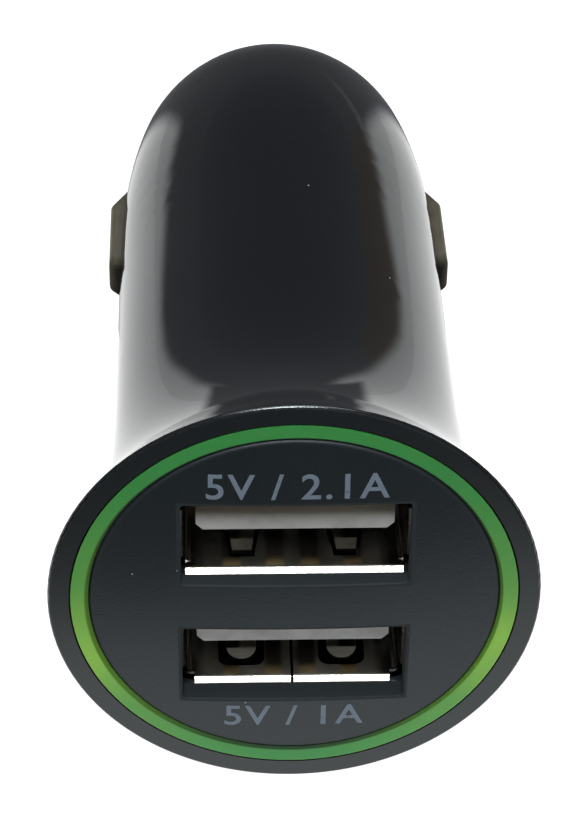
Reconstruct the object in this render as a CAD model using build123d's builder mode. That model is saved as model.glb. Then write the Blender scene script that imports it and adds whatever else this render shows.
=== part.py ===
from build123d import *
from math import asin, atan2, cos, degrees, sin
import os

# Car charger plug with two power sockets in its face, in millimetres.
# The axis is Y: the face looks to -Y, the tip points to +Y and Z is up.
# A depth is a distance behind the front of the rim.

# Casing
rim_dia = 27.9  # widest point, at the face
rim_band = 1.2  # front of the rim, outside the light ring
rim_fillet = 0.18
flare_depth = 20.0  # where the trumpet becomes the straight barrel
flare_power = 3.45  # how quickly the trumpet closes on the barrel
barrel_dia = 20.8  # fits the dashboard socket
land_length = 8.5
taper_length = 12.7
taper_drop = 0.65  # radius lost before the nose closes
nose_reach = 11.8  # half-length of the whole elliptical nose
nose_cut = 9.3  # where the nose is cut flat, from its widest ring
nose_floor = 2.3  # wall that carries the tip pin
wall = 1.05
core_wall = 1.0  # wall round the side contacts and in the nose
collar_length = 1.4  # stiff collar behind the ring seat

# Clearances
fit = 0.06  # pieces that are pressed or clipped together
slide_fit = 0.06  # tip pin in its bore
ring_gap = 0.1  # dark line round the light ring
slot_gap = 0.15  # side contacts in their slots
part_gap = 0.2  # boards and sockets in the casing

# Light ring
ring_width = 1.0
ring_chamfer = 0.15
ring_draft = 0.45  # radius lost down the conical seat
ring_web = 0.8  # ring under the shelf of the face plate
ledge_width = 0.8
shelf_width = 1.0
shelf_thickness = 1.6
light_leg_width = 0.7
light_leg_height = 1.6

# Face plate
plate_recess = 0.05  # edge of the plate behind the front of the rim
plate_crown = 0.55  # height of its domed front
plate_edge = 0.7
plate_thickness = 1.95  # at the edge of the dome
plate_fillet = 0.2
plate_lip = 1.1  # from the top of the dome to the upper socket shell
opening_width = 12.8
opening_height = 5.6
opening_corner = 0.25
opening_edge = 0.12
hook_width = 3.6
hook_thickness = 0.85
hook_length = 1.7
barb_height = 0.6

# Power sockets
port_pitch = 8.95
port_drop = 0.1  # middle of the two sockets below the axis
lower_setback = 0.55  # front of the lower socket behind the upper one
shell_width = 13.1
shell_height = 5.72
shell_wall = 0.3
shell_corner = 0.7
shell_depth = 10.4
shell_tab_height = 1.5
shell_tab_reach = 0.6  # tab past the back of the port board
finger_spread = 5.9  # between the two spring fingers of a wall
finger_root = 2.4  # tapered fingers of the upper socket
finger_tip = 1.1
round_finger = 1.75  # fingers of the lower socket
finger_rise = 0.4  # bend into the socket
finger_drop = 0.22  # curl back at the tip
finger_curl = 0.7  # length of that curl
window_front = 1.15  # whole floor in front of the finger windows
window_length = 4.6
window_width = 2.7  # round the fingers of the lower socket
window_corner = 0.6
finger_gap = 0.38  # gap in front of a finger
finger_slit = 0.14  # gap on each side of a tapered finger
lip_depth = 0.8  # front tabs of a shell, up to the closed tube
lip_length = 0.28  # flared part of a tab
lip_flare = 0.32
lip_bend = 0.3
upper_lip_width = 12.3
lower_lip_width = 11.4
side_lip_height = 3.4
seam_width = 0.17  # where the sheet of the lower shell meets
tongue_setback = 0.55  # tongue behind the front of its shell
tongue_width = 11.1
tongue_thickness = 1.84
tongue_chamfer = 0.4
base_depth = 2.4
contact_width = 1.0
contact_thickness = 0.25
contact_inner = 1.0  # inner pair, from the middle of the socket
contact_outer = 3.5  # outer pair
contact_setback = 2.3  # contact tips behind the front of the tongue
contact_bow = 0.4
contact_bow_length = 3.6
contact_tail = 0.5  # tail past the back of the port board

# Circuit boards
port_board_gap = 0.5  # between the shells and the port board
port_board_thickness = 1.2
tail_hole_dia = 1.4
board_thickness = 1.6
board_inset = 0.75  # wide board edges inside the barrel wall
board_neck = 6.2  # half width between the side contacts
board_tab = 3.0
board_tab_spread = 8.0
rib_thickness = 0.8
rib_grip = 1.0
seat_rib_width = 2.4

# Parts on the boards
can_dia = 6.3
input_can_length = 10.5
output_can_length = 8.0
can_spread = 7.4
can_setback = 2.2  # cans behind the port board
can_crimp = 0.3
can_crimp_setback = 1.4
can_fillet = 0.5
lead_dia = 0.5
lead_spread = 2.5
lead_reach = 1.2
inductor_dia = 8.0
inductor_height = 5.6
inductor_setback = 8.4  # inductor axis in front of the end of the board
drum_flange = 1.0
drum_dia = 4.4
winding_gap = 0.3  # bare edge of the drum outside the winding
chip_length = 4.9
chip_width = 3.9
chip_height = 1.5
chip_setback = 9.0  # chip behind the port board
chip_lead_count = 4  # on each side
chip_lead_pitch = 1.27
chip_lead_width = 0.42
chip_lead_reach = 1.05
chip_lead_thickness = 0.2
diode_length = 4.3
diode_width = 3.6
diode_height = 2.2
diode_tab = 0.9
diode_setback = 17.5
resistor_length = 2.0
resistor_width = 1.25
resistor_height = 0.55
resistor_pitch = 2.2
resistor_count = 4
resistor_setback = 13.2
capacitor_length = 3.2
capacitor_width = 1.6
capacitor_height = 1.4
capacitor_spread = 8.0
capacitor_setback = 4.0
led_spread = 16.6
led_length = 1.6
led_width = 0.8
led_height = 0.7

# Tip
pin_dia = 5.0
pin_reach = 5.0  # pin past the flat of the nose
pin_fillet = 1.6
pin_flange_dia = 7.6
pin_flange_thickness = 1.0
pin_spigot_dia = 3.6
pin_spigot_length = 0.8
spring_length = 6.2
spring_dia = 5.2  # middle of the wire
spring_wire = 0.5
spring_turns = 5
terminal_dia = 6.6
terminal_thickness = 0.4
terminal_leg = 3.0
terminal_leg_width = 2.6

# Side contacts
side_reach = 0.7  # contact outside the barrel
side_width = 2.5
side_front = 1.65  # first point of the contact behind the straight barrel
side_length = 11.0
side_nose = 1.6  # length of the steep end towards the face
side_slope = 2.6  # length of the end that meets the dashboard socket first
side_sheet = 0.6
side_edge = 0.5
side_base = 0.75  # foot of the slopes inside the barrel's surface
side_flange = 0.45
side_lap = 0.6  # flange behind the wall round the slot
leaf_thickness = 0.25
leaf_width = 2.0
leaf_length = 7.6
leaf_foot = 1.2

# Depths and radii that follow
rim_r = rim_dia / 2
barrel_r = barrel_dia / 2
nose_r = barrel_r - taper_drop
cavity_r = barrel_r - wall
core_r = nose_r - core_wall
land_end = flare_depth + land_length
taper_end = land_end + taper_length
nose_end = taper_end + nose_cut
nose_inner = nose_end - nose_floor
origin_depth = flare_depth + land_length / 2

seat_r = rim_r - rim_band
seat_back_r = seat_r - ring_draft
collar_r = seat_back_r - ledge_width
ring_r = seat_r - ring_gap
ring_back_r = seat_back_r - ring_gap
ring_inner_r = ring_r - ring_width
shelf_r = collar_r - ring_gap
plate_r = ring_inner_r - fit
shelf_inner_r = plate_r - shelf_width
boss_r = shelf_inner_r - ring_gap
shelf_front = plate_recess + plate_edge
seat_depth = shelf_front + ring_web
shelf_back = shelf_front + shelf_thickness
plate_front = plate_recess - plate_crown
plate_back = plate_recess + plate_thickness
collar_end = seat_depth + collar_length

shell_front = plate_front + plate_lip + fit
shell_rear = shell_front + shell_depth
port_board_front = shell_rear + port_board_gap
port_board_back = port_board_front + port_board_thickness
base_front = shell_rear - base_depth
contact_rows = (-contact_outer, -contact_inner, contact_inner, contact_outer)

side_start = land_end + side_front
side_end = side_start + side_length
side_middle = (side_start + side_end) / 2
side_outer_x = barrel_r + side_reach
flange_start = side_start - slot_gap - side_lap
flange_length = side_length + 2 * (slot_gap + side_lap)
flange_r = core_r - ring_gap
core_start = flange_start - part_gap

pin_r = pin_dia / 2
flange_back = nose_inner - fit
flange_front = flange_back - pin_flange_thickness
terminal_front = flange_front - spring_length - terminal_thickness
board_end = terminal_front
board_half = cavity_r - board_inset
board_shoulder = core_start - part_gap
board_top = board_thickness / 2

# Sketch planes: along the axis, seen from above or below, and across the axis.
# The plane across the axis faces the front, so negative extrusions run to the tip.
axial = Plane(origin=(0, -origin_depth, 0), x_dir=(0, 1, 0), z_dir=(1, 0, 0))
plan = Plane(origin=(0, -origin_depth, 0), x_dir=(1, 0, 0), z_dir=(0, 0, 1))
under = Plane(origin=(0, -origin_depth, -board_top), x_dir=(1, 0, 0), z_dir=(0, 0, 1))
aside = Plane(origin=(0, -origin_depth, 0), x_dir=(0, 1, 0), z_dir=(0, 0, -1))


def across(depth):
    return Plane.XZ.offset(origin_depth - depth)


def save(piece, name):
    piece.part.label = name
    export_step(piece.part, f"parts/{name}.step")


def flare_radius(depth):
    left = (flare_depth - depth) / (flare_depth - rim_fillet)
    return barrel_r + (rim_r - barrel_r) * left**flare_power


def flare_curve(start, inset):
    steps = 6
    span = flare_depth - start
    stations = [flare_depth - span * step / steps for step in range(steps, -1, -1)]
    slope = (flare_radius(start + fit) - flare_radius(start)) / fit
    points = [(station, flare_radius(station) - inset) for station in stations]
    return Spline(points, tangents=[(1, slope), (1, 0)])


def nose_curve(start, reach, radius, cut):
    steps = 5
    turns = [asin(cut / reach) * step / steps for step in range(1, steps + 1)]
    points = [(taper_end + reach * sin(turn), radius * cos(turn)) for turn in turns]
    end_slope = (reach * cos(turns[-1]), -radius * sin(turns[-1]))
    return Spline([start] + points, tangents=[(1, 0), end_slope])


os.makedirs("parts", exist_ok=True)

# Casing: one trumpet-shaped moulding, closed at the nose
with BuildPart() as housing:
    with BuildSketch(axial):
        with BuildLine():
            CenterArc((rim_fillet, rim_r - rim_fillet), rim_fillet, 90, 90)
            flare_curve(rim_fillet, 0)
            Line((flare_depth, barrel_r), (land_end, barrel_r))
            nose = nose_curve((land_end, barrel_r), nose_reach, nose_r, nose_cut)
            inner_cut = nose_inner - taper_end
            inner = nose_curve((taper_end, core_r), nose_reach - core_wall, core_r, inner_cut)
            bore_r = pin_r + slide_fit
            Polyline(nose @ 1, (nose_end, bore_r), (nose_inner, bore_r), inner @ 1)
            Polyline(
                (taper_end, core_r),
                (core_start, core_r),
                (core_start, cavity_r),
                (flare_depth, cavity_r),
            )
            flare_curve(collar_end, wall)
            Polyline(
                (collar_end, flare_radius(collar_end) - wall),
                (collar_end, collar_r),
                (seat_depth, collar_r),
                (seat_depth, seat_back_r),
                (0, seat_r),
                (0, rim_r - rim_fillet),
            )
        make_face()
    revolve(axis=Axis.Y)
    # Room for the corners of the two sockets
    with BuildSketch(across(collar_end)):
        pocket_width = shell_width + 2 * part_gap
        pocket_height = port_pitch + shell_height + 2 * part_gap
        with Locations((0, -port_drop)):
            RectangleRounded(pocket_width, pocket_height, shell_corner + part_gap)
    extrude(amount=collar_end - port_board_back, mode=Mode.SUBTRACT)
    # Slots for the side contacts
    with BuildSketch(plan):
        with Locations((0, side_middle)):
            Rectangle(2 * rim_r, side_length + 2 * slot_gap)
    extrude(amount=side_width / 2 + slot_gap, both=True, mode=Mode.SUBTRACT)
    # Ribs that guide the main board and carry the port board
    with BuildSketch(across(port_board_back)):
        rib_inner = board_half - rib_grip
        rib_outer = cavity_r + wall / 2
        rib_gap = board_top + fit
        with GridLocations(rib_inner + rib_outer, 2 * rib_gap + rib_thickness, 2, 2):
            Rectangle(rib_outer - rib_inner, rib_thickness)
        with GridLocations(0, rib_inner + rib_outer, 1, 2):
            Rectangle(seat_rib_width, rib_outer - rib_inner)
    extrude(amount=port_board_back - core_start)
save(housing, "housing")

# Light ring: a conical band, a shelf for the face plate and two light guides
with BuildPart() as light_ring:
    with BuildSketch(axial):
        with BuildLine():
            Polyline(
                (0, ring_inner_r + ring_chamfer),
                (0, ring_r),
                (seat_depth, ring_back_r),
                (seat_depth, shelf_r),
                (shelf_back, shelf_r),
                (shelf_back, shelf_inner_r),
                (shelf_front, shelf_inner_r),
                (shelf_front, ring_inner_r),
                (ring_chamfer, ring_inner_r),
                close=True,
            )
        make_face()
    revolve(axis=Axis.Y)
    with BuildSketch(plan):
        with BuildLine():
            leg_outer = shelf_r - ring_gap
            leg_root = plate_back + ring_gap
            leg_end = port_board_front - led_height - part_gap
            leg_x = led_spread / 2
            Polyline(
                (leg_outer, leg_root),
                (leg_outer - light_leg_width, leg_root),
                (leg_x - light_leg_width / 2, leg_end),
                (leg_x + light_leg_width / 2, leg_end),
                close=True,
            )
        leg = make_face()
        mirror(leg, about=Plane.YZ)
    extrude(amount=light_leg_height / 2, both=True)
save(light_ring, "light_ring")

# The two sockets: height, set back of the front, width of the top and bottom lips
ports = (
    ("upper", port_pitch / 2 - port_drop, 0, upper_lip_width),
    ("lower", -port_pitch / 2 - port_drop, lower_setback, lower_lip_width),
)

# Face plate: a domed, stepped disc with two openings, clipped behind the shelf of the ring
with BuildPart() as face_plate:
    with BuildSketch(axial):
        with BuildLine():
            Polyline(
                (plate_front, 0),
                (plate_front, plate_r),
                (shelf_front, plate_r),
                (shelf_front, boss_r),
                (plate_back, boss_r),
                (plate_back, 0),
                close=True,
            )
        make_face()
    revolve(axis=Axis.Y)
    dome_r = (plate_r**2 + plate_crown**2) / (2 * plate_crown)
    with Locations((0, plate_front + dome_r - origin_depth, 0)):
        Sphere(dome_r, mode=Mode.INTERSECT)
    dome = face_plate.faces().sort_by(Axis.Y)[0]
    fillet(dome.outer_wire().edges(), plate_fillet)
    with BuildSketch(across(plate_front)):
        for port, z, setback, lip_width in ports:
            with Locations((0, z)):
                RectangleRounded(opening_width, opening_height, opening_corner)
    extrude(amount=plate_front - plate_back, mode=Mode.SUBTRACT)
    dome = face_plate.faces().sort_by(Axis.Y)[0]
    fillet([edge for hole in dome.inner_wires() for edge in hole.edges()], opening_edge)
    # Room behind the openings for the flared lips of the shells
    for port, z, setback, lip_width in ports:
        pocket_front = plate_front + plate_lip + setback
        pocket_edge = lip_flare + ring_gap
        with BuildSketch(across(pocket_front)):
            with Locations((0, z)):
                room_width = shell_width + 2 * pocket_edge
                room_height = shell_height + 2 * pocket_edge
                RectangleRounded(room_width, room_height, shell_corner + pocket_edge)
        extrude(amount=pocket_front - plate_back, mode=Mode.SUBTRACT)
    with BuildSketch(axial):
        with BuildLine():
            hook_outer = boss_r - ring_gap
            hook_inner = hook_outer - hook_thickness
            barb_front = shelf_back + fit
            hook_end = plate_back + hook_length
            Polyline(
                (shelf_front, hook_inner),
                (shelf_front, hook_outer),
                (barb_front, hook_outer),
                (barb_front, hook_outer + barb_height),
                (hook_end, hook_inner + hook_thickness / 2),
                (hook_end, hook_inner),
                close=True,
            )
        make_face()
    hook = extrude(amount=hook_width / 2, both=True)
    mirror(hook, about=Plane.XY)
save(face_plate, "face_plate")

# Spring finger of a socket wall, drawn on the floor of the upper socket at Z = 0 and X = 0
window_rear = shell_front + window_front + window_length
finger_front = shell_front + window_front + finger_gap
finger_peak = finger_front + finger_curl


def spring_finger(rounded):
    with BuildPart() as finger:
        with BuildSketch(axial):
            with BuildLine():
                Polyline(
                    (window_rear + shell_wall, 0),
                    (window_rear, 0),
                    (finger_peak, finger_rise),
                    (finger_front, finger_rise - finger_drop),
                    (finger_front, finger_rise - finger_drop + shell_wall),
                    (finger_peak, finger_rise + shell_wall),
                    (window_rear, shell_wall),
                    (window_rear + shell_wall, shell_wall),
                    close=True,
                )
            make_face()
        root = round_finger if rounded else finger_root
        tip = round_finger if rounded else finger_tip
        extrude(amount=root / 2, both=True)
        with BuildSketch(plan):
            with BuildLine():
                Polyline(
                    (-root / 2, window_rear + shell_wall),
                    (-tip / 2, finger_front),
                    (tip / 2, finger_front),
                    (root / 2, window_rear + shell_wall),
                    close=True,
                )
            make_face()
            if rounded:
                fillet(vertices().group_by(Axis.Y)[0], round_finger / 2 - fit)
        extrude(amount=shell_height, both=True, mode=Mode.INTERSECT)
    return finger.part


# Flared front tab of a socket wall whose outer face lies at the given distance
def front_lip(plane, front, outer, width):
    bend = front + lip_length
    inner = outer - shell_wall
    tube_front = front + lip_depth
    with BuildPart() as lip:
        with BuildSketch(plane):
            with BuildLine():
                flare_tip = (front, inner + lip_flare)
                flare_edge = (front, outer + lip_flare)
                FilletPolyline((tube_front, inner), (bend, inner), flare_tip, radius=lip_bend)
                Line(flare_tip, flare_edge)
                FilletPolyline(flare_edge, (bend, outer), (tube_front, outer), radius=lip_bend)
                Line((tube_front, outer), (tube_front, inner))
            make_face()
        extrude(amount=width / 2, both=True)
    return lip.part


# Each socket: steel shell, insulating tongue with its base, four contacts
window_angle = 90 + degrees(atan2((finger_root - finger_tip) / 2, window_length))
for port, z, setback, lip_width in ports:
    seamed = port == "lower"
    front = shell_front + setback
    tube_front = front + lip_depth
    tongue_front = front + tongue_setback
    finger = spring_finger(seamed)
    top_lip = front_lip(axial, front, z + shell_height / 2, lip_width)
    side_lip = front_lip(aside.offset(-z), front, shell_width / 2, side_lip_height)
    with BuildPart() as shell:
        with BuildSketch(across(tube_front)):
            with Locations((0, z)):
                RectangleRounded(shell_width, shell_height, shell_corner)
        extrude(amount=tube_front - shell_rear)
        with BuildSketch(across(tube_front)):
            with Locations((0, z)):
                inner_corner = shell_corner - shell_wall
                inner_width = shell_width - 2 * shell_wall
                inner_height = shell_height - 2 * shell_wall
                RectangleRounded(inner_width, inner_height, inner_corner)
        extrude(amount=tube_front - shell_rear, mode=Mode.SUBTRACT)
        add([top_lip, side_lip])
        mirror(top_lip, about=Plane.XY.offset(z))
        mirror(side_lip, about=Plane.YZ)
        with BuildSketch(plan.offset(z)):
            with GridLocations(finger_spread, 0, 2, 1):
                with Locations((0, window_rear + setback - window_length / 2)):
                    if seamed:
                        RectangleRounded(window_width, window_length, window_corner)
                    else:
                        Trapezoid(finger_root + 2 * finger_slit, window_length, window_angle)
        extrude(amount=shell_height, both=True, mode=Mode.SUBTRACT)
        for x in (-finger_spread / 2, finger_spread / 2):
            with Locations((x, setback, z - shell_height / 2)):
                add(finger)
            with Locations(Location((x, setback, z + shell_height / 2))):
                add(mirror(finger, about=Plane.XY, mode=Mode.PRIVATE))
        if seamed:
            with BuildSketch(plan.offset(z - shell_height / 2)):
                with Locations((0, (front + shell_rear) / 2)):
                    Rectangle(seam_width, shell_rear - front)
            extrude(amount=shell_wall + lip_flare, both=True, mode=Mode.SUBTRACT)
        # Side tabs that are soldered through the port board
        with BuildSketch(across(shell_rear)):
            with Locations((0, z)):
                with GridLocations(shell_width - shell_wall, 0, 2, 1):
                    Rectangle(shell_wall, shell_tab_height)
        extrude(amount=shell_rear - port_board_back - shell_tab_reach)
    save(shell, f"{port}_port_shell")

    with BuildPart() as tongue:
        with BuildSketch(across(tongue_front)):
            with Locations((0, z + tongue_thickness / 2)):
                Rectangle(tongue_width, tongue_thickness)
        extrude(amount=tongue_front - base_front)
        chamfer(tongue.edges().filter_by(Axis.Y).group_by(Axis.Z)[0], tongue_chamfer)
        with BuildSketch(across(base_front)):
            with Locations((0, z)):
                RectangleRounded(inner_width - 2 * fit, inner_height - 2 * fit, inner_corner)
        extrude(amount=-base_depth)
        with BuildSketch(across(base_front)):
            with Locations(*[(x, z - contact_thickness / 2) for x in contact_rows]):
                Rectangle(contact_width + 2 * fit, contact_thickness + 2 * fit)
        extrude(amount=-base_depth, mode=Mode.SUBTRACT)
    save(tongue, f"{port}_port_tongue")

    with BuildPart() as contacts:
        for x in contact_rows:
            with BuildSketch(axial.offset(x)):
                with BuildLine():
                    start = tongue_front + contact_setback
                    peak = start + contact_bow_length / 2
                    flat = start + contact_bow_length
                    end = port_board_back + contact_tail
                    Polyline(
                        (start, z - fit),
                        (peak, z - fit - contact_bow),
                        (flat, z - fit),
                        (end, z - fit),
                        (end, z - fit - contact_thickness),
                        (flat, z - fit - contact_thickness),
                        (peak, z - fit - contact_bow - contact_thickness),
                        (start, z - fit - contact_thickness),
                        close=True,
                    )
                make_face()
            extrude(amount=contact_width / 2, both=True)
    save(contacts, f"{port}_port_contacts")

# Port board: a disc across the casing, behind both sockets
with BuildPart() as port_board:
    with BuildSketch(across(port_board_front)):
        Circle(flare_radius(port_board_back) - wall - part_gap)
        for port, z, setback, lip_width in ports:
            with Locations(*[(x, z - contact_thickness / 2) for x in contact_rows]):
                Circle(tail_hole_dia / 2, mode=Mode.SUBTRACT)
            with Locations((0, z)):
                with GridLocations(shell_width - shell_wall, 0, 2, 1):
                    Rectangle(shell_wall + 2 * fit, shell_tab_height + 2 * fit, mode=Mode.SUBTRACT)
        with GridLocations(board_tab_spread, 0, 2, 1):
            Rectangle(board_tab + 2 * fit, board_thickness + 2 * fit, mode=Mode.SUBTRACT)
    extrude(amount=-port_board_thickness)
save(port_board, "port_board")

# Main board: lies along the axis, with a neck between the side contacts
with BuildPart() as main_board:
    with BuildSketch(plan):
        with BuildLine():
            Polyline(
                (-board_half, port_board_back),
                (-board_half, board_shoulder),
                (-board_neck, board_shoulder),
                (-board_neck, board_end),
                (board_neck, board_end),
                (board_neck, board_shoulder),
                (board_half, board_shoulder),
                (board_half, port_board_back),
                close=True,
            )
        make_face()
        with Locations((0, port_board_back - port_board_thickness / 2)):
            with GridLocations(board_tab_spread, 0, 2, 1):
                Rectangle(board_tab, port_board_thickness)
    extrude(amount=board_top, both=True)
save(main_board, "main_board")

# Two electrolytic capacitors lying on the board
can_z = board_top + can_dia / 2
can_front = port_board_back + can_setback
for name, x, length in (
    ("input_capacitor", -can_spread / 2, input_can_length),
    ("output_capacitor", can_spread / 2, output_can_length),
):
    can_rear = can_front + length
    with BuildPart() as can:
        with BuildSketch(across(can_front)):
            with Locations((x, can_z)):
                Circle(can_dia / 2)
        extrude(amount=-length)
        fillet(can.edges(), can_fillet)
        with BuildSketch(across(can_rear - can_crimp_setback)):
            with Locations((x, can_z)):
                Circle(can_dia / 2)
                Circle(can_dia / 2 - can_crimp, mode=Mode.SUBTRACT)
        extrude(amount=-can_crimp, mode=Mode.SUBTRACT)
        for lead_x in (x - lead_spread / 2, x + lead_spread / 2):
            with BuildLine(axial.offset(lead_x)) as lead:
                FilletPolyline(
                    (can_rear - can_fillet, can_z),
                    (can_rear + lead_reach, can_z),
                    (can_rear + lead_reach, board_top),
                    radius=lead_dia,
                )
            with BuildSketch(across(can_rear - can_fillet)):
                with Locations((lead_x, can_z)):
                    Circle(lead_dia / 2)
            sweep(path=lead.wires()[0])
    save(can, name)

# Inductor: a ferrite drum and the wire on it
inductor_depth = board_end - inductor_setback
inductor_plane = plan.offset(board_top)
with BuildPart() as inductor_core:
    with BuildSketch(inductor_plane):
        with Locations((0, inductor_depth)):
            Circle(inductor_dia / 2)
    extrude(amount=drum_flange)
    with BuildSketch(inductor_plane):
        with Locations((0, inductor_depth)):
            Circle(drum_dia / 2)
    extrude(amount=inductor_height)
    with BuildSketch(inductor_plane.offset(inductor_height - drum_flange)):
        with Locations((0, inductor_depth)):
            Circle(inductor_dia / 2)
    extrude(amount=drum_flange)
save(inductor_core, "inductor_core")

with BuildPart() as inductor_winding:
    with BuildSketch(inductor_plane.offset(drum_flange + fit)):
        with Locations((0, inductor_depth)):
            Circle(inductor_dia / 2 - winding_gap)
            Circle(drum_dia / 2 + fit, mode=Mode.SUBTRACT)
    extrude(amount=inductor_height - 2 * (drum_flange + fit))
save(inductor_winding, "inductor_winding")

# Converter chip under the board, with its bent leads
with BuildPart() as converter_chip:
    chip_middle = port_board_back + chip_setback
    chip_top = -chip_lead_thickness
    with BuildSketch(under.offset(chip_top)):
        with Locations((0, chip_middle)):
            Rectangle(chip_width, chip_length)
    extrude(amount=-chip_height)
    lead_middle = chip_width / 2 + chip_lead_reach / 2
    with BuildSketch(under):
        with Locations((0, chip_middle)):
            with GridLocations(2 * lead_middle, chip_lead_pitch, 2, chip_lead_count):
                Rectangle(chip_lead_reach, chip_lead_width)
    extrude(amount=-chip_lead_thickness)
    with BuildSketch(under):
        with Locations((0, chip_middle)):
            with GridLocations(chip_width + chip_lead_thickness, chip_lead_pitch, 2, chip_lead_count):
                Rectangle(chip_lead_thickness, chip_lead_width)
    extrude(amount=-chip_lead_thickness - chip_height / 2)
save(converter_chip, "converter_chip")

# Rectifier diode under the board
with BuildPart() as rectifier_diode:
    with BuildSketch(under):
        with Locations((0, port_board_back + diode_setback)):
            Rectangle(diode_width, diode_length)
    extrude(amount=-diode_height)
    fillet(rectifier_diode.edges().filter_by(Axis.Z), diode_tab / 2)
    with BuildSketch(under):
        with Locations((0, port_board_back + diode_setback)):
            Rectangle(diode_width / 2, diode_length + 2 * diode_tab)
    extrude(amount=-chip_lead_thickness)
save(rectifier_diode, "rectifier_diode")

# Small chip parts under the board
with BuildPart() as chip_resistors:
    with BuildSketch(under):
        with Locations((0, port_board_back + resistor_setback)):
            with GridLocations(resistor_pitch, 0, resistor_count, 1):
                Rectangle(resistor_width, resistor_length)
    extrude(amount=-resistor_height)
save(chip_resistors, "chip_resistors")

with BuildPart() as chip_capacitors:
    with BuildSketch(under):
        with Locations((0, port_board_back + capacitor_setback)):
            with GridLocations(capacitor_spread, 0, 2, 1):
                Rectangle(capacitor_width, capacitor_length)
    extrude(amount=-capacitor_height)
save(chip_capacitors, "chip_capacitors")

# Two lamps in front of the port board, under the light guides
with BuildPart() as indicator_leds:
    with BuildSketch(across(port_board_front)):
        with GridLocations(led_spread, 0, 2, 1):
            Rectangle(led_width, led_length)
    extrude(amount=led_height)
save(indicator_leds, "indicator_leds")

# Tip terminal: a plate with two legs that straddle the end of the board
with BuildPart() as tip_terminal:
    with BuildSketch(across(terminal_front)):
        Circle(terminal_dia / 2)
    extrude(amount=-terminal_thickness)
    with BuildSketch(across(terminal_front)):
        with GridLocations(0, board_thickness + terminal_thickness, 1, 2):
            Rectangle(terminal_leg_width, terminal_thickness)
    extrude(amount=terminal_leg)
save(tip_terminal, "tip_terminal")

# Tip spring between the terminal and the pin
with BuildPart() as tip_spring:
    coil_height = spring_length - spring_wire - 2 * fit
    coil_start = terminal_front + terminal_thickness + spring_wire / 2 + fit
    coil_centre = (0, coil_start - origin_depth, 0)
    with BuildLine() as coil:
        Helix(coil_height / spring_turns, coil_height, spring_dia / 2, coil_centre, (0, 1, 0))
    with BuildSketch(Plane(origin=coil.line @ 0, z_dir=coil.line % 0)):
        Circle(spring_wire / 2)
    sweep(is_frenet=True)
save(tip_spring, "tip_spring")

# Tip pin: rounded end, flange behind the nose wall, spigot inside the spring
with BuildPart() as tip_pin:
    with BuildSketch(across(flange_front)):
        Circle(pin_r)
    extrude(amount=flange_front - nose_end - pin_reach)
    fillet(tip_pin.edges().group_by(Axis.Y)[-1], pin_fillet)
    with BuildSketch(across(flange_front)):
        Circle(pin_flange_dia / 2)
    extrude(amount=-pin_flange_thickness)
    with BuildSketch(across(flange_front)):
        Circle(pin_spigot_dia / 2)
    extrude(amount=pin_spigot_length)
save(tip_pin, "tip_pin")

# Side contacts: a pressed bulge through the slot and a flange behind the wall
flange_inner_r = flange_r - side_flange
bulge_foot_x = barrel_r - side_base


def bulge_outline(sheet):
    return (
        (flange_inner_r - sheet, side_start + sheet),
        (bulge_foot_x, side_start + sheet),
        (side_outer_x - sheet, side_start + side_nose + sheet / 2),
        (side_outer_x - sheet, side_end - side_slope - sheet / 2),
        (bulge_foot_x, side_end - sheet),
        (flange_inner_r - sheet, side_end - sheet),
    )


with BuildPart() as right_contact:
    with BuildSketch(plan):
        with BuildLine():
            Polyline(*bulge_outline(0), close=True)
        make_face()
    extrude(amount=side_width / 2, both=True)
    fillet(right_contact.edges().filter_by(lambda edge: edge.center().X > bulge_foot_x + fit), side_edge)
    with BuildSketch(across(flange_start)):
        Circle(flange_r)
        Circle(flange_inner_r, mode=Mode.SUBTRACT)
        with Locations((flange_r, 0)):
            Rectangle(flange_r, side_width + 2 * (slot_gap + side_lap), mode=Mode.INTERSECT)
    extrude(amount=-flange_length)
    with BuildSketch(plan):
        with BuildLine():
            Polyline(*bulge_outline(side_sheet), close=True)
        make_face()
    extrude(amount=side_width / 2 - side_sheet, both=True, mode=Mode.SUBTRACT)
save(right_contact, "right_contact")

with BuildPart() as left_contact:
    mirror(right_contact.part, about=Plane.YZ)
save(left_contact, "left_contact")

# Leaf springs: bowed strips between the edge of the board and the contacts
with BuildPart() as right_contact_spring:
    with BuildSketch(plan):
        with BuildLine():
            leaf_start = side_middle - leaf_length / 2
            leaf_end = side_middle + leaf_length / 2
            crest_x = flange_inner_r - 2 * fit
            inner_crest_x = crest_x - leaf_thickness
            foot_x = board_neck + fit
            outer_x = foot_x + leaf_thickness
            ThreePointArc((outer_x, leaf_start), (crest_x, side_middle), (outer_x, leaf_end))
            Polyline(
                (outer_x, leaf_end),
                (outer_x, leaf_end + leaf_foot),
                (foot_x, leaf_end + leaf_foot),
                (foot_x, leaf_end),
            )
            ThreePointArc((foot_x, leaf_end), (inner_crest_x, side_middle), (foot_x, leaf_start))
            Polyline(
                (foot_x, leaf_start),
                (foot_x, leaf_start - leaf_foot),
                (outer_x, leaf_start - leaf_foot),
                (outer_x, leaf_start),
            )
        make_face()
    extrude(amount=leaf_width / 2, both=True)
save(right_contact_spring, "right_contact_spring")

with BuildPart() as left_contact_spring:
    mirror(right_contact_spring.part, about=Plane.YZ)
save(left_contact_spring, "left_contact_spring")
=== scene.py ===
import bpy
import math
import numpy as np
from mathutils import Matrix, Vector


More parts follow.
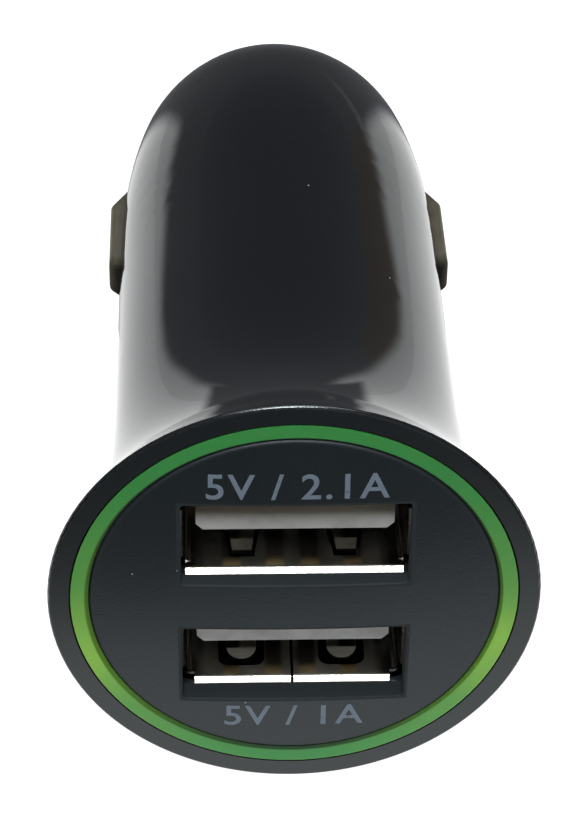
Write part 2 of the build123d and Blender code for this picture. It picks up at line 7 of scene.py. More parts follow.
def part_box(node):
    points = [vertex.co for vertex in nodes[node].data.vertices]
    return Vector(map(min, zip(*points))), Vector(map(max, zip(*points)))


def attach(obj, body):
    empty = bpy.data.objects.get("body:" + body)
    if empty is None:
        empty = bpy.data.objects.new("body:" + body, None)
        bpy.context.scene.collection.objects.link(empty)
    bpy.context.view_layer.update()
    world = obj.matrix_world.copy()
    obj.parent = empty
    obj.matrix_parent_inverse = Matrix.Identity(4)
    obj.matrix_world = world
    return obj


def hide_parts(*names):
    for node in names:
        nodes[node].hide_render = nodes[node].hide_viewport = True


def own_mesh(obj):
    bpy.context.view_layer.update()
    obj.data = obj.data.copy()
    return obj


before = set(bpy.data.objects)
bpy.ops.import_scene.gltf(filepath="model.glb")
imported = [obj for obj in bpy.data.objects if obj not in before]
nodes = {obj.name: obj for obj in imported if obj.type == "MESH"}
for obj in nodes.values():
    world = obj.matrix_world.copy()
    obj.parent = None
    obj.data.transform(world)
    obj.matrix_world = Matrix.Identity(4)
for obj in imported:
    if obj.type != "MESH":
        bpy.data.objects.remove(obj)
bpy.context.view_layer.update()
mm = 0.001
crisp = 0.1 * mm  # width over which one finish gives way to the next
print("frame loaded:", len(nodes), "nodes")


# A socket in a node tree. Arithmetic on it adds Math nodes, add() makes any other node.
class Wire:
    def __init__(self, tree, socket=None):
        self.tree = tree
        self.socket = socket

    def add(self, kind, settings, sockets, output=0):
        made = self.tree.nodes.new(kind)
        for name, value in settings.items():
            setattr(made, name, value)
        for name, value in sockets.items():
            if isinstance(value, Wire):
                self.tree.links.new(value.socket, made.inputs[name])
            else:
                made.inputs[name].default_value = value
        return Wire(self.tree, made.outputs[output])

    def math(self, operation, *values):
        sockets = dict(enumerate(values))
        return self.add("ShaderNodeMath", {"operation": operation}, sockets)

    def __add__(self, other):
        return self.math("ADD", self, other)

    def __radd__(self, other):
        return self.math("ADD", other, self)

    def __sub__(self, other):
        return self.math("SUBTRACT", self, other)

    def __rsub__(self, other):
        return self.math("SUBTRACT", other, self)

    def __mul__(self, other):
        return self.math("MULTIPLY", self, other)

    def __rmul__(self, other):
        return self.math("MULTIPLY", other, self)

    def __truediv__(self, other):
        return self.math("DIVIDE", self, other)

    def __rtruediv__(self, other):
        return self.math("DIVIDE", other, self)

    def __pow__(self, other):
        return self.math("POWER", self, other)

    def __abs__(self):
        return self.math("ABSOLUTE", self)

    # 0 below low, 1 above high, smooth between
    def step(self, low, high):
        settings = {"interpolation_type": "SMOOTHSTEP"}
        return self.add("ShaderNodeMapRange", settings, {"Value": self, 1: low, 2: high})

    # colour a where this is 0, colour b where it is 1
    def blend(self, a, b):
        settings = {"data_type": "RGBA"}
        colours = [c if isinstance(c, Wire) else (*c, 1) for c in (a, b)]
        return self.add("ShaderNodeMix", settings, {0: self, 6: colours[0], 7: colours[1]}, 2)

    def split(self):
        parted = self.add("ShaderNodeSeparateXYZ", {}, {0: self})
        return [Wire(self.tree, output) for output in parted.socket.node.outputs]

    # the same place with its axes stretched or squeezed
    def scaled(self, *scale):
        return self.add("ShaderNodeMapping", {}, {"Vector": self, "Scale": scale})

    def noise(self, grain, detail=2.0, rough=0.5):
        values = {"Vector": self, "Scale": 1 / grain, "Detail": detail, "Roughness": rough}
        return self.add("ShaderNodeTexNoise", {}, values)

    def bump(self, height, distance, normal=None):
        values = {"Height": height, "Distance": distance}
        if normal:
            values["Normal"] = normal
        return self.add("ShaderNodeBump", {}, values)

    # the mesh's own normal where this is 0, the direction (x, y, z) where it is 1
    def turned(self, x, y, z):
        wanted = self.add("ShaderNodeCombineXYZ", {}, {0: x, 1: y, 2: z})
        wanted = self.add("ShaderNodeVectorMath", {"operation": "NORMALIZE"}, {0: wanted})
        own = self.add("ShaderNodeNewGeometry", {}, {}, "Normal")
        mixed = self.add("ShaderNodeMix", {"data_type": "VECTOR"}, {0: self, 4: own, 5: wanted}, 1)
        return self.add("ShaderNodeVectorMath", {"operation": "NORMALIZE"}, {0: mixed})

    # sparse round specks: 1 inside the radius of some of the points of a cell pattern
    def specks(self, cell, radius, share, fade=0.02):
        values = {"Vector": self, "Scale": 1 / cell}
        apart = self.add("ShaderNodeTexVoronoi", {}, values)
        pick = self.add("ShaderNodeTexVoronoi", {}, values, 1).split()[0]
        inside = 1 - apart.step(radius / cell / 2, radius / cell)
        return inside * pick.step(1 - share, 1 - share + fade)


# A material: fixed socket values, and a function that returns the linked ones
def makeFinish(name, fixed, linked):
    material = bpy.data.materials.new(name)
    material.use_nodes = True
    tree = material.node_tree
    shader = tree.nodes["Principled BSDF"]
    place = Wire(tree).add("ShaderNodeTexCoord", {}, {}, "Object")
    for socket, value in fixed.items():
        shader.inputs[socket].default_value = value
    for socket, wire in linked(place).items():
        tree.links.new(wire.socket, shader.inputs[socket])
    return material


# Casing: gloss black, satin on the front of the rim, a little dust
casing = {
    "fixed": {"IOR": 1.5, "Specular Tint": (0.9, 0.98, 1, 1)},
    "black": (0.0045, 0.005, 0.006),
    "satinBlack": (0.0042, 0.0055, 0.0065),
    "dust": (0.25, 0.25, 0.24),
    "dustSpecks": (1.6 * mm, 0.08 * mm, 0.12),  # cell, radius, share of the cells
    "dustRough": 0.4,
    "gloss": 0.05,
    "satin": 0.28,
    "satinGrain": 0.12,  # what the grain adds to it
    "faceY": -24.25 * mm,  # front of the rim
    "satinDepth": 0.03 * mm,
    "rimRadius": 13.95 * mm,
    "rimRound": 0.18 * mm,  # radius of the rim's front edge
    "rimFade": 0.01 * mm,
    "rimRough": 0.14,
    "rimGrain": 0.9,  # share of the grain on that edge
    "grain": 0.12 * mm,
    "grainHeight": 0.009 * mm,
    "waveSize": 3.0 * mm,
    "waveHeight": 0.0012 * mm,
    "smearSize": 6.0 * mm,
    "smearRange": (0.35, 0.75),
    "smear": 0.035,
}


def casingFinish(place):
    x, y, z = place.split()
    front = 1 - y.step(casing["faceY"], casing["faceY"] + casing["satinDepth"])
    grain = place.noise(casing["grain"])
    wave = place.noise(casing["waveSize"])
    dust = place.specks(*casing["dustSpecks"])
    smear = place.noise(casing["smearSize"], detail=4, rough=0.6).step(*casing["smearRange"])
    gloss = casing["gloss"] + smear * casing["smear"] + dust * casing["dustRough"]
    satin = casing["satin"] + grain * casing["satinGrain"]
    black = front.blend(casing["black"], casing["satinBlack"])
    # on the rim's round edge the normal points away from the centre of the rounding
    radius = (x * x + z * z) ** 0.5
    outward = radius - (casing["rimRadius"] - casing["rimRound"])
    ahead = casing["faceY"] + casing["rimRound"] - y
    edge = outward.step(0, casing["rimFade"]) * ahead.step(0, casing["rimFade"])
    normal = edge.turned(x / radius * outward, 0 - ahead, z / radius * outward)
    grainShare = front + edge * casing["rimGrain"]
    height = wave * casing["waveHeight"] + grain * grainShare * casing["grainHeight"]
    return {
        "Base Color": dust.blend(black, casing["dust"]),
        "Roughness": gloss + front * (satin - gloss) + edge * casing["rimRough"],
        "Normal": wave.bump(height, 1.0, normal),
    }


# Face plate: matte slate with a fine moulded grain, rougher along its edges
plate = {
    "fixed": {"Specular IOR Level": 0.3, "Specular Tint": (0.85, 0.97, 1, 1)},
    "slate": (0.0056, 0.0078, 0.0095),
    "slatePale": (0.0078, 0.0104, 0.0122),
    "cloud": 5 * mm,
    "dust": (0.2, 0.2, 0.19),
    "dustSpecks": (1.3 * mm, 0.07 * mm, 0.15),  # cell, radius, share of the cells
    "rough": 0.3,
    "grain": 0.14 * mm,
    "grainRough": 0.16,
    "grainHeight": 0.012 * mm,
    "openings": (4.375 * mm, -4.575 * mm),
    "edgeX": 6.6 * mm,  # around the two openings
    "edgeZ": 3.0 * mm,
    "edgeFade": 0.05 * mm,
    "edgeRough": 0.4,
    "border": (11.3 * mm, 11.5 * mm),  # around the plate
    "borderShare": 0.4,
}


def plateFinish(place):
    grain = place.noise(plate["grain"])
    cloud = place.noise(plate["cloud"], detail=3)
    dust = place.specks(*plate["dustSpecks"])
    slate = cloud.blend(plate["slate"], plate["slatePale"])
    x, y, z = place.split()
    upper, lower = [abs(z - middle) for middle in plate["openings"]]
    above = place.math("MINIMUM", upper, lower) - plate["edgeZ"]
    beside = place.math("MAXIMUM", abs(x) - plate["edgeX"], above)
    border = ((x * x + z * z) ** 0.5).step(*plate["border"])
    edge = 1 - beside.step(-plate["edgeFade"], plate["edgeFade"]) + border * plate["borderShare"]
    return {
        "Base Color": dust.blend(slate, plate["dust"]),
        "Roughness": plate["rough"] + grain * plate["grainRough"] + edge * plate["edgeRough"],
        "Normal": grain.bump(grain, plate["grainHeight"]),
    }


# Light ring: tinted clear plastic, paler where the two lamps shine into it (painted glow), with
# painted shade along its inner edge
ring = {
    "fixed": {"Subsurface Weight": 0.3, "Subsurface Scale": 0.6 * mm, "Specular IOR Level": 0.25},
    "green": (0.027, 0.165, 0.038),
    "lime": (0.16, 0.335, 0.045),
    "dark": (0.006, 0.03, 0.008),  # painted shade on its inner edge
    # painted lamp glow inside that shaded edge
    "darkLime": (0.045, 0.12, 0.008),
    "lampX": 11.6 * mm,
    "lampZ": -3.6 * mm,
    "lampReach": (14 * mm, 5.5 * mm),  # weak wide glow, strong narrow one
    "lampShare": (0.45, 0.55),
    "cloud": 2.5 * mm,
    "cloudGlow": (0.7, 0.5),  # least share of the glow, what the clouds add
    "inner": 11.75 * mm,
    "margin": 0.06 * mm,  # painted shade on the inner edge, wider on the left
    "leftMargin": 0.06 * mm,
    "marginFade": 0.06 * mm,
    "marginRough": 0.74,
    "cloudRough": 0.12,
    "smoother": 0.4,  # how much smoother it is past that edge
}


def ringFinish(place):
    x, y, z = place.split()
    across, along = abs(x) - ring["lampX"], z - ring["lampZ"]
    away = (across * across + along * along) ** 0.5
    wide, narrow = [1 - away.step(0, reach) for reach in ring["lampReach"]]
    glow = wide * ring["lampShare"][0] + narrow * ring["lampShare"][1]
    cloud = place.noise(ring["cloud"], detail=3)
    least, more = ring["cloudGlow"]
    tint = (glow * (least + cloud * more)).blend(ring["green"], ring["lime"])
    # painted shade along the inner edge, wider on the left
    margin = ring["margin"] + (0 - x).step(0, ring["inner"]) * ring["leftMargin"]
    within = (x * x + z * z) ** 0.5 - ring["inner"] - margin
    inside = within.step(-ring["marginFade"], ring["marginFade"])
    return {
        "Base Color": inside.blend(wide.blend(ring["dark"], ring["darkLime"]), tint),
        "Roughness": ring["marginRough"] + cloud * ring["cloudRough"] - inside * ring["smoother"],
    }


# the upper socket's value where z is above 0, the lower one's below
def bySocket(z, upper, lower):
    return lower + z.step(-crisp, crisp) * (upper - lower)


# Sockets: rolled steel shells, white tongues, gold contacts
steel = {
    "bright": (0.66, 0.64, 0.6),
    "dull": (0.42, 0.39, 0.35),
    "cloud": 2 * mm,
    "cloudRange": (0.3, 0.8),
    "rough": 0.1,
    "grain": 0.25 * mm,
    "grainStretch": 6,  # how much longer than wide the rolling lines are
    "grainRough": 0.12,
    "lipRough": 0.2,
    "lipLength": 0.5 * mm,
    "sideShade": (0.1, 0.095, 0.085),  # painted shade on the side walls
    "sideX": 6.1 * mm,
}
lipFronts = [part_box(name + "_port_shell")[0][1] for name in ("upper", "lower")]


def steelFinish(place):
    stretch = steel["grainStretch"]
    lines = place.scaled(1, stretch, stretch).noise(steel["grain"] * stretch, detail=3)
    cloud = place.noise(steel["cloud"], detail=3).step(*steel["cloudRange"])
    x, y, z = place.split()
    upper, lower = [1 - y.step(front, front + steel["lipLength"]) for front in lipFronts]
    lip = bySocket(z, upper, lower)
    # painted shade on the shells' side walls
    sides = abs(x).step(steel["sideX"], steel["sideX"] + crisp)
    return {
        "Base Color": sides.blend(cloud.blend(steel["bright"], steel["dull"]), steel["sideShade"]),
        "Roughness": steel["rough"] + lines * steel["grainRough"] + lip * steel["lipRough"],
    }


# Tongues: white plastic in grey clouds; the upper one is painted darker and the lower one paler for
# the light each socket gets, painted shade and painted light
tongue = {
    "upper": (0.26, 0.265, 0.255),
    "lower": (0.56, 0.57, 0.55),
    "grey": (0.05, 0.045, 0.04),  # clouds over the white
    "greyShare": 0.25,
    "cloud": 1.5 * mm,
    "cloudRange": (0.35, 0.75),
    "topShadow": (0.11, 0.08, 0.025),  # painted shadow, tinted brown, along the top of the upper one
    "topShadowZ": (4.9 * mm, 6.1 * mm),
    "topShadowShare": 0.9,
    "rough": 0.42,
    "cloudRough": 0.15,
    "grain": 0.2 * mm,
    "grainHeight": 0.01 * mm,
}


def tongueFinish(place):
    cloud = place.noise(tongue["cloud"], detail=4)
    x, y, z = place.split()
    # painted shade on the upper tongue, painted light on the lower one
    white = z.step(-crisp, crisp).blend(tongue["lower"], tongue["upper"])
    # painted shadow along the top of the upper tongue
    white = (z.step(*tongue["topShadowZ"]) * tongue["topShadowShare"]).blend(white, tongue["topShadow"])
    grey = cloud.step(*tongue["cloudRange"]) * tongue["greyShare"]
    return {
        "Base Color": grey.blend(white, tongue["grey"]),
        "Roughness": tongue["rough"] + cloud * tongue["cloudRough"],
        "Normal": cloud.bump(place.noise(tongue["grain"]), tongue["grainHeight"]),
    }


# gold at the front ends, plain dull metal behind, painted dark as shade
gold = {
    "bright": (1.0, 0.86, 0.55),
    "dull": (0.92, 0.74, 0.42),
    # plain metal behind the gold, painted dark: painted shade
    "bare": (0.09, 0.085, 0.08),
    "cloud": 0.8 * mm,
    "goldLength": 0.35 * mm,
    "goldFade": 0.15 * mm,
    "rough": 0.6,
    "cloudRough": 0.2,
}
contactFronts = [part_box(name + "_port_contacts")[0][1] for name in ("upper", "lower")]


def goldFinish(place):
    cloud = place.noise(gold["cloud"], detail=3)
    x, y, z = place.split()
    ends = [front + gold["goldLength"] for front in contactFronts]
    upper, lower = [y.step(end, end + gold["goldFade"]) for end in ends]
    plated = cloud.blend(gold["bright"], gold["dull"])
    return {
        "Base Color": bySocket(z, upper, lower).blend(plated, gold["bare"]),
        "Roughness": gold["rough"] + cloud * gold["cloudRough"],
    }


# fine scratches along y
def scratched(place, look):
    stretch = look["scratchStretch"]
    return place.scaled(stretch, 1, stretch).noise(look["scratch"] * stretch, detail=3)


# Side contacts: dull plated brass, darker towards the front end, with painted shade where they meet
# the casing
side = {
    "fixed": {"Metallic": 1.0, "Specular Tint": (0.4, 0.4, 0.4, 1)},
    "plated": (0.4, 0.375, 0.31),
    "brass": (0.33, 0.3, 0.21),
    "cloud": 1.6 * mm,
    "cloudRange": (0.3, 0.75),
    # colour of the darker front end and of the painted shade beside the casing
    "darkening": (0.02, 0.019, 0.017),
    "slopeEnd": 1.9 * mm,  # from the front end
    "darkEnd": 4.4 * mm,
    "darkWander": 0.5 * mm,
    "darkRough": 0.3,
    "root": (10.5 * mm, 11.8 * mm),  # painted shade beside the casing, by distance from the axis
    "rootWander": 0.4 * mm,
    "rootShare": 0.55,
    "rough": 0.36,
    "scratch": 0.12 * mm,
    "scratchStretch": 10,
    "scratchRough": 0.22,
    "scratchHeight": 0.006 * mm,
}
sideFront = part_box("left_contact")[0][1]


def sideFinish(place):
    x, y, z = place.split()
    scratches = scratched(place, side)
    cloud = place.noise(side["cloud"], detail=3)
    start, end = sideFront + side["slopeEnd"], sideFront + side["darkEnd"]
    darkening = 1 - (y + cloud * side["darkWander"]).step(start, end)
    # painted shade in the crease beside the casing
    root = 1 - (abs(x) + cloud * side["rootWander"]).step(*side["root"])
    darkening = darkening.math("MAXIMUM", darkening, root * side["rootShare"])
    clean = cloud.step(*side["cloudRange"]).blend(side["plated"], side["brass"])
    rough = side["rough"] + scratches * side["scratchRough"]
    return {
        "Base Color": darkening.blend(clean, side["darkening"]),
        "Roughness": rough + darkening * side["darkRough"],
        "Normal": scratches.bump(scratches, side["scratchHeight"]),
    }


# Tip: nickel over brass
nickel = {
    "bright": (0.52, 0.48, 0.42),
    "worn": (0.46, 0.38, 0.27),
    "cloud": 1.6 * mm,
    "cloudRange": (0.3, 0.75),
    "rough": 0.2,
    "scratch": 0.12 * mm,
    "scratchStretch": 10,
    "scratchRough": 0.25,
    "scratchHeight": 0.006 * mm,
}


def nickelFinish(place):
    scratches = scratched(place, nickel)
    cloud = place.noise(nickel["cloud"], detail=3).step(*nickel["cloudRange"])
    return {
        "Base Color": cloud.blend(nickel["bright"], nickel["worn"]),
        "Roughness": nickel["rough"] + scratches * nickel["scratchRough"],
        "Normal": scratches.bump(scratches, nickel["scratchHeight"]),
    }


# Inner pieces: two colours in clouds, size of the clouds, least and most roughness
metal = {"Metallic": 1.0}
inner = {
    "spring_steel": ("springSteel", metal, (0.5, 0.5, 0.5), (0.4, 0.39, 0.37), mm, 0.2, 0.4),
    "board_green": ("boardGreen", {}, (0.01, 0.09, 0.035), (0.02, 0.14, 0.06), 2 * mm, 0.3, 0.45),
    "can_aluminium": ("canAluminium", metal, (0.7, 0.7, 0.7), (0.6, 0.6, 0.6), mm, 0.25, 0.4),
    "ferrite": ("ferriteGrey", {}, (0.03, 0.03, 0.03), (0.05, 0.05, 0.05), 0.3 * mm, 0.6, 0.8),
    "copper_wire": ("copperWire", metal, (0.7, 0.3, 0.12), (0.6, 0.22, 0.09), mm, 0.2, 0.35),
    "chip_black": ("chipBlack", {}, (0.015, 0.015, 0.016), (0.025, 0.025, 0.026), 0.2 * mm, 0.5, 0.7),
    "chip_tan": ("chipTan", {}, (0.35, 0.22, 0.12), (0.28, 0.17, 0.09), 0.5 * mm, 0.45, 0.6),
    "lamp_clear": ("lampClear", {}, (0.7, 0.75, 0.6), (0.6, 0.7, 0.5), 0.5 * mm, 0.2, 0.3),
}
innerClouds = (0.3, 0.7)


def innerFinish(first, second, cloudSize, low, high):
    def linked(place):
        cloud = place.noise(cloudSize, detail=3)
        tint = cloud.step(*innerClouds).blend(first, second)
        return {"Base Color": tint, "Roughness": low + cloud * (high - low)}
    return linked


finishes = {
    "casing_black": makeFinish("casingBlack", casing["fixed"], casingFinish),
    "plate_slate": makeFinish("plateSlate", plate["fixed"], plateFinish),
    "ring_green": makeFinish("ringGreen", ring["fixed"], ringFinish),
    "socket_steel": makeFinish("socketSteel", metal, steelFinish),
    "tongue_white": makeFinish("tongueWhite", {}, tongueFinish),
    "contact_gold": makeFinish("contactGold", metal, goldFinish),
    "side_nickel": makeFinish("sideNickel", side["fixed"], sideFinish),
    "tip_nickel": makeFinish("tipNickel", metal, nickelFinish),
}
for slotName, (name, fixed, *look) in inner.items():
    finishes[slotName] = makeFinish(name, fixed, innerFinish(*look))
for node in nodes.values():
    for slot in node.material_slots:
        slot.material = finishes[slot.material.name]
print("finishes made:", len(finishes))


def addToScene(name, data):
    made = bpy.data.objects.new(name, data)
    bpy.context.scene.collection.objects.link(made)
    return made


# Quads of a grid of rows x columns, and a mesh object from them
def gridQuads(rows, columns, closed=False):
    low = np.arange(rows - 1)[:, None] * columns
    high = low + columns
    here = np.arange(columns if closed else columns - 1)[None, :]
    there = (here + 1) % columns
    return np.stack([low + here, low + there, high + there, high + here], -1).reshape(-1, 4)


def makePiece(name, points, quads, material):
    mesh = bpy.data.meshes.new(name)
    mesh.from_pydata(points.reshape(-1, 3).tolist(), [], quads.tolist())
    mesh.polygons.foreach_set("use_smooth", np.ones(len(mesh.polygons), bool))
    mesh.materials.append(material)
    return addToScene(name, mesh)


# Print on the face plate: plain ratings beside the sockets, laid on the dome
ratings = {
    "upper": ("5V / 2.1A", 8.45 * mm),
    "lower": ("5V / 1A", -8.85 * mm),
    "height": 2.35 * mm,  # of a line
    "spacing": 1.12,
    "bolder": 0.03 * mm,
    "lift": 0.012 * mm,  # above the plate
    "domeTop": -24.75 * mm,
    "domeRadius": 122.4 * mm,
    "fixed": {"Specular IOR Level": 0.3},
    "ink": (0.085, 0.11, 0.14),
    "wornSize": 0.5 * mm,
    "wornRange": (0.1, 0.45),
    "rough": 0.5,
    "grainRough": 0.2,
}


def printFinish(place):
    grain = place.noise(plate["grain"])
    worn = place.noise(ratings["wornSize"], detail=3).step(*ratings["wornRange"])
    return {
        "Base Color": worn.blend(plate["slatePale"], ratings["ink"]),
        "Roughness": ratings["rough"] + grain * ratings["grainRough"],
        "Normal": grain.bump(grain, plate["grainHeight"]),
    }


def makeRating(name, words, z):
    font = bpy.data.curves.new(name, "FONT")
    font.body = words
    font.align_x = "CENTER"
    font.align_y = "CENTER"
    font.size = ratings["height"]
    font.space_character = ratings["spacing"]
    font.offset = ratings["bolder"]
    drawn = addToScene(name + "Drawn", font)
    bpy.context.view_layer.update()
    mesh = bpy.data.meshes.new_from_object(drawn)
    bpy.data.objects.remove(drawn)
    flat = np.empty(len(mesh.vertices) * 3)
    mesh.vertices.foreach_get("co", flat)
    across, along = flat.reshape(-1, 3)[:, 0], flat.reshape(-1, 3)[:, 1] + z
    # each point goes back by the fall of the sphere:
    # radius minus root of radius squared minus distance squared
    fall = ratings["domeRadius"] - np.sqrt(ratings["domeRadius"] ** 2 - across**2 - along**2)
    points = np.stack([across, ratings["domeTop"] - ratings["lift"] + fall, along], -1)
    mesh.vertices.foreach_set("co", points.ravel())
    mesh.materials.clear()
    mesh.materials.append(makeFinish(name, ratings["fixed"], printFinish))
    piece = addToScene(name, mesh)
    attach(piece, "casing")


makeRating("upperRating", *ratings["upper"])
makeRating("lowerRating", *ratings["lower"])
print("ratings printed")

# Springs: a coil for the tip pin and a leaf spring for each side contact
springs = {
    "wire": 0.5 * mm,
    "turns": 5,
    "closer": 0.4,  # how much closer the end turns lie
    "tipTravel": 3.0 * mm,
    "coilGrid": (241, 12),  # points along the wire and around it
    "leaf": 0.25 * mm,  # thickness of a leaf spring
    "foot": 1.2 * mm,  # flat at each end of it
    "square": 6,  # how square its section is
    "sideTravel": 1.0 * mm,
    "leafGrid": (97, 24),
}


# a tube around a line of centres, closed at its ends: two unit directions span its section
def tubePoints(centres, first, second, acrossFirst, acrossSecond):
    rows = np.concatenate([[0], np.arange(len(centres)), [len(centres) - 1]])
    size = np.ones(len(rows))[:, None, None]
    size[[0, -1]] = 0
    section = acrossFirst[:, None] * first[rows][:, None]
    section = section + acrossSecond[:, None] * second[rows][:, None]
    return centres[rows][:, None] + size * section


def placeSpring(name, points, node):
    quads = gridQuads(points.shape[0], points.shape[1], closed=True)
    piece = makePiece(name, points, quads, finishes["spring_steel"])
    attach(piece, "casing")
    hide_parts(node)
    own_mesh(piece)


def makeTipSpring():
    low, high = [np.array(corner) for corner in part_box("tip_spring")]
    steps, sides = springs["coilGrid"]
    wire = springs["wire"] / 2
    share = np.linspace(0, 1, steps)
    turn = 2 * np.pi * springs["turns"] * share
    outward = np.stack([np.cos(turn), 0 * turn, -np.sin(turn)], -1)
    centres = ((high[0] - low[0]) / 2 - wire) * outward
    # height along the axis: share of the run less a sine, so that the end turns lie closer
    rise = share - springs["closer"] * np.sin(2 * np.pi * share) / (2 * np.pi)
    centres[:, 1] = low[1] + wire + (high[1] - low[1] - 2 * wire) * rise
    along = np.gradient(centres, axis=0)
    sideways = np.cross(along / np.linalg.norm(along, axis=1, keepdims=True), outward)
    around = np.linspace(0, 2 * np.pi, sides, endpoint=False)
    points = tubePoints(centres, outward, sideways, wire * np.cos(around), wire * np.sin(around))
    placeSpring("tipSpring", points, "tip_spring")


def makeLeafSpring(hand, sign):
    node, joint = hand + "_contact_spring", hand + "_contact_press"
    low, high = [np.array(corner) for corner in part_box(node)]
    steps, sides = springs["leafGrid"]
    foot, crest = (low[0], high[0]) if sign > 0 else (high[0], low[0])
    half = springs["leaf"] / 2
    y = np.linspace(low[1], high[1], steps)
    # bow: one less the square of the distance from the middle over the reach, 0 at the feet
    reach = (high[1] - low[1]) / 2 - springs["foot"]
    bow = np.maximum(0, 1 - ((y - (low[1] + high[1]) / 2) / reach) ** 2)
    x = foot + sign * half + (crest - foot - 2 * sign * half) * bow
    centres = np.stack([x, y, 0 * y + (low[2] + high[2]) / 2], -1)
    along = np.gradient(centres, axis=0)
    along /= np.linalg.norm(along, axis=1, keepdims=True)
    outward = np.stack([along[:, 1], -along[:, 0], 0 * y], -1)
    sideways = np.cross(along, outward)
    around = np.linspace(0, 2 * np.pi, sides, endpoint=False)
    # section: a rounded rectangle, cosine and sine drawn towards plus and minus one
    waves = (np.cos(around), np.sin(around))
    flat, wide = [np.sign(wave) * np.abs(wave) ** (2 / springs["square"]) for wave in waves]
    points = tubePoints(centres, outward, sideways, half * flat, (high[2] - low[2]) / 2 * wide)
    placeSpring(hand + "Spring", points, node)


makeTipSpring()
makeLeafSpring("right", 1)
makeLeafSpring("left", -1)
print("springs made")

# Studio: pale floor, cards that only the part's surfaces see, soft box, a key light by the camera
studio = {
    "floorZ": -13.97 * mm,
    "floorHalf": 2.0,
    "floorGlow": 1.0,
    "floorWhite": 0.22,
    "floorRough": 0.8,
    "white": (1.0, 1.0, 1.0),
    "room": (0.085, 0.09, 0.1),  # light from above
    "roomLow": (0.15, 0.155, 0.165),  # and from the sides
    "roomRise": (0.1, 0.7),  # from one to the other, by the direction's height
    "cardBlack": (0.002, 0.002, 0.002),
    "cardGlow": 1.0,
    "brown": (0.17, 0.14, 0.11),  # right part of the back card
    "brownTurn": (math.radians(25), math.radians(31)),
    "backGrid": (80, 96),
    "backRadius": 180 * mm,
    "backTurn": math.radians(46),
    "backTop": 60 * mm,
    "backDip": -4 * mm,  # height of the white part's edge in the middle
    "backWaves": ((-24, 12.5, 20 * mm), (24, 15, 31 * mm)),  # its rises: turn, half width, height
    "backSoft": 10 * mm,
    "flagGrid": 48,
    "flagY": 40 * mm,  # dim card that stands on the floor behind the nose
    "flagHalf": 19 * mm,  # half width at height 0
    "flagSpread": 0.35,  # how it widens upwards
    "flagTop": 13 * mm,
    "flagSoft": 1 * mm,
    "flagSideSoft": 4 * mm,
    "shadeX": 18 * mm,  # painted shadow of the part: dim patch on the floor behind the nose
    "shadeY": (20 * mm, 90 * mm),
    "shadeSoft": (8 * mm, 25 * mm),  # at its sides and its far end
    "frontStart": -40 * mm,
    "frontTilt": -0.15,  # its edge lies farther out on the right
    "frontEnd": -0.5,
    "frontHalf": 0.5,
    "cardLift": 0.5 * mm,  # of the cards that lie on the floor
    "keyPower": 0.42,
    "keySize": 0.045,
    "keyLift": 0.045,  # above the lens
    "keyAim": Vector((0, -20, 0)) * mm,
    "topPlace": Vector((0, -20, 260)) * mm,
    "topSize": (0.22, 0.1),
    "topPower": 0.42,
}
shot = {
    "place": Vector((-5.2186, -139.4673, 104.1287)) * mm,
    "azimuth": math.radians(-2.268),
    "elevation": math.radians(38.041),
    "roll": math.radians(0.863),
    "lens": 121.2,
    "nearest": 10 * mm,
}
darkCard = {"Base Color": (*studio["cardBlack"], 1), "Specular IOR Level": 0.0}


def bareFinish(place):
    return {}


def readValues(place, name):
    return place.add("ShaderNodeAttribute", {"attribute_name": name}, {}, "Fac")


def backFinish(place):
    over, turn = readValues(place, "over"), readValues(place, "turn")
    wall = turn.step(*studio["brownTurn"]).blend(studio["roomLow"], studio["brown"])
    edge = over.step(-studio["backSoft"], studio["backSoft"])
    return {"Emission Color": edge.blend(studio["white"], wall)}


def flagFinish(place):
    return {"Alpha": readValues(place, "share")}


# 0 below low, 1 above high, smooth between
def ease(values, low, high):
    share = np.clip((values - low) / (high - low), 0, 1)
    return share**2 * (3 - 2 * share)


def flatPoints(x, y, z):
    return np.stack(np.meshgrid(x, y, [z], indexing="xy"), -1)


# a card shows only in the part's gloss, and a diffuse one shades the part too
def makeCard(name, points, quads, finish, diffuse=False):
    card = makePiece(name, points, quads, finish)
    card.visible_camera = False
    card.visible_shadow = False
    card.visible_transmission = False
    card.visible_diffuse = diffuse
    return card


def addValues(card, name, values):
    card.data.attributes.new(name, "FLOAT", "POINT").data.foreach_set("value", values.ravel())


def makeFloor():
    pale = {
        "Base Color": (studio["floorWhite"],) * 3 + (1,),
        "Roughness": studio["floorRough"],
        "Emission Color": (*studio["white"], 1),
        "Emission Strength": studio["floorGlow"],
    }
    sides = np.array([-1, 1]) * studio["floorHalf"]
    points = flatPoints(sides, sides, studio["floorZ"])
    return makePiece("floor", points, gridQuads(2, 2), makeFinish("floorPale", pale, bareFinish))


# part of an upright cylinder, white below an edge that rises in two flat-topped waves:
# edge = dip + sum of height times exp of minus the fourth power of (turn - middle) / half width
def makeBackCard():
    rows, columns = studio["backGrid"]
    turn = np.linspace(-1, 1, columns) * studio["backTurn"]
    edge = np.full(columns, studio["backDip"])
    for middle, width, height in studio["backWaves"]:
        edge = edge + height * np.exp(-(((np.degrees(turn) - middle) / width) ** 4))
    share = np.linspace(0, 1, rows)[:, None]
    around = turn + 0 * share
    heights = studio["floorZ"] + (studio["backTop"] - studio["floorZ"]) * share + 0 * turn
    x, y = [wave(around) * studio["backRadius"] for wave in (np.sin, np.cos)]
    glowing = {**darkCard, "Emission Strength": studio["cardGlow"]}
    finish = makeFinish("cardBack", glowing, backFinish)
    card = makeCard("backCard", np.stack([x, y, heights], -1), gridQuads(rows, columns), finish)
    addValues(card, "over", heights - edge)
    addValues(card, "turn", around)
    return card
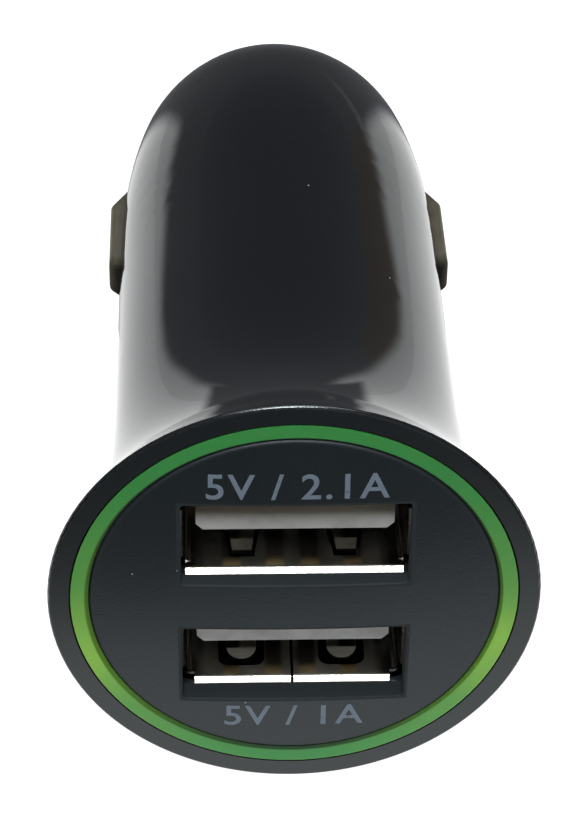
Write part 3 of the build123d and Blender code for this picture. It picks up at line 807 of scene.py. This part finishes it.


# an upright card that fades at its edges, and a patch of floor that fades too, a painted shadow of
# the part
def makeFlag():
    count = studio["flagGrid"]
    across, along = np.meshgrid(np.linspace(-1, 1, count), np.linspace(0, 1, count))
    low = studio["floorZ"] + studio["cardLift"]
    z = low + along * (studio["flagTop"] - low)
    half = studio["flagHalf"] + studio["flagSpread"] * z
    upright = np.stack([across * half, studio["flagY"] + 0 * z, z], -1)
    uprightShare = ease(studio["flagTop"] - z, 0, studio["flagSoft"])
    uprightShare = uprightShare * ease(half * (1 - np.abs(across)), 0, studio["flagSideSoft"])
    (near, far), (sideSoft, endSoft) = studio["shadeY"], studio["shadeSoft"]
    x = across * studio["shadeX"]
    y = near + along * (far - near)
    patch = np.stack([x, y, low + 0 * x], -1)
    patchShare = ease(studio["shadeX"] - np.abs(x), 0, sideSoft) * ease(far - y, 0, endSoft)
    quads = np.concatenate([gridQuads(count, count), gridQuads(count, count) + across.size])
    dim = {"Emission Color": (*studio["roomLow"], 1), "Emission Strength": studio["cardGlow"]}
    finish = makeFinish("cardFlag", {**darkCard, **dim}, flagFinish)
    card = makeCard("flag", np.stack([upright, patch]), quads, finish)
    addValues(card, "share", np.stack([uprightShare, patchShare]))
    return card


# flat, just above the floor: painted shade on the floor in front of the part, seen in its reflections
# and in the light it takes from below
def makeFrontCard():
    x = np.array([-1, 1]) * studio["frontHalf"]
    y = np.array([studio["frontEnd"], studio["frontStart"]])
    points = flatPoints(x, y, studio["floorZ"] + studio["cardLift"])
    points[..., 1] += points[..., 0] * studio["frontTilt"]
    finish = makeFinish("cardFront", darkCard, bareFinish)
    return makeCard("frontCard", points, gridQuads(2, 2), finish, diffuse=True)


def makeRoom():
    world = bpy.data.worlds.new("studio")
    world.use_nodes = True
    tree = world.node_tree
    seen = Wire(tree).add("ShaderNodeLightPath", {}, {}, "Is Camera Ray")
    height = Wire(tree).add("ShaderNodeTexCoord", {}, {}, "Generated").split()[2]
    room = height.step(*studio["roomRise"]).blend(studio["roomLow"], studio["room"])
    light = seen.blend(room, studio["white"])
    tree.links.new(light.socket, tree.nodes["Background"].inputs["Color"])
    bpy.context.scene.world = world


def makeStudio():
    floor, back, flag, front = makeFloor(), makeBackCard(), makeFlag(), makeFrontCard()
    makeRoom()


def makeCamera():
    az, el, roll = shot["azimuth"], shot["elevation"], shot["roll"]
    back = Vector((math.sin(az) * math.cos(el), -math.cos(az) * math.cos(el), math.sin(el)))
    level = Vector((math.cos(az), math.sin(az), 0))
    upright = back.cross(level)
    right = level * math.cos(roll) + upright * math.sin(roll)
    up = upright * math.cos(roll) - level * math.sin(roll)
    turn = Matrix((right, up, back)).transposed().to_4x4()
    data = bpy.data.cameras.new("camera")
    data.lens = shot["lens"]
    data.clip_start = shot["nearest"]
    camera = addToScene("camera", data)
    camera.matrix_world = Matrix.Translation(shot["place"]) @ turn
    bpy.context.scene.camera = camera
    return up


# key light above the lens, and a soft box straight above the rim
def makeLights(up):
    lamp = bpy.data.lights.new("key", "AREA")
    lamp.size = studio["keySize"]
    lamp.energy = studio["keyPower"]
    key = addToScene("key", lamp)
    spot = shot["place"] + up * studio["keyLift"]
    aim = (spot - studio["keyAim"]).to_track_quat("Z", "Y")
    key.matrix_world = Matrix.Translation(spot) @ aim.to_matrix().to_4x4()
    box = bpy.data.lights.new("softBox", "AREA")
    box.shape = "RECTANGLE"
    box.size, box.size_y = studio["topSize"]
    box.energy = studio["topPower"]
    top = addToScene("softBox", box)
    top.location = studio["topPlace"]


makeStudio()
makeLights(makeCamera())
bpy.context.scene.view_settings.view_transform = "Standard"
print("studio ready")
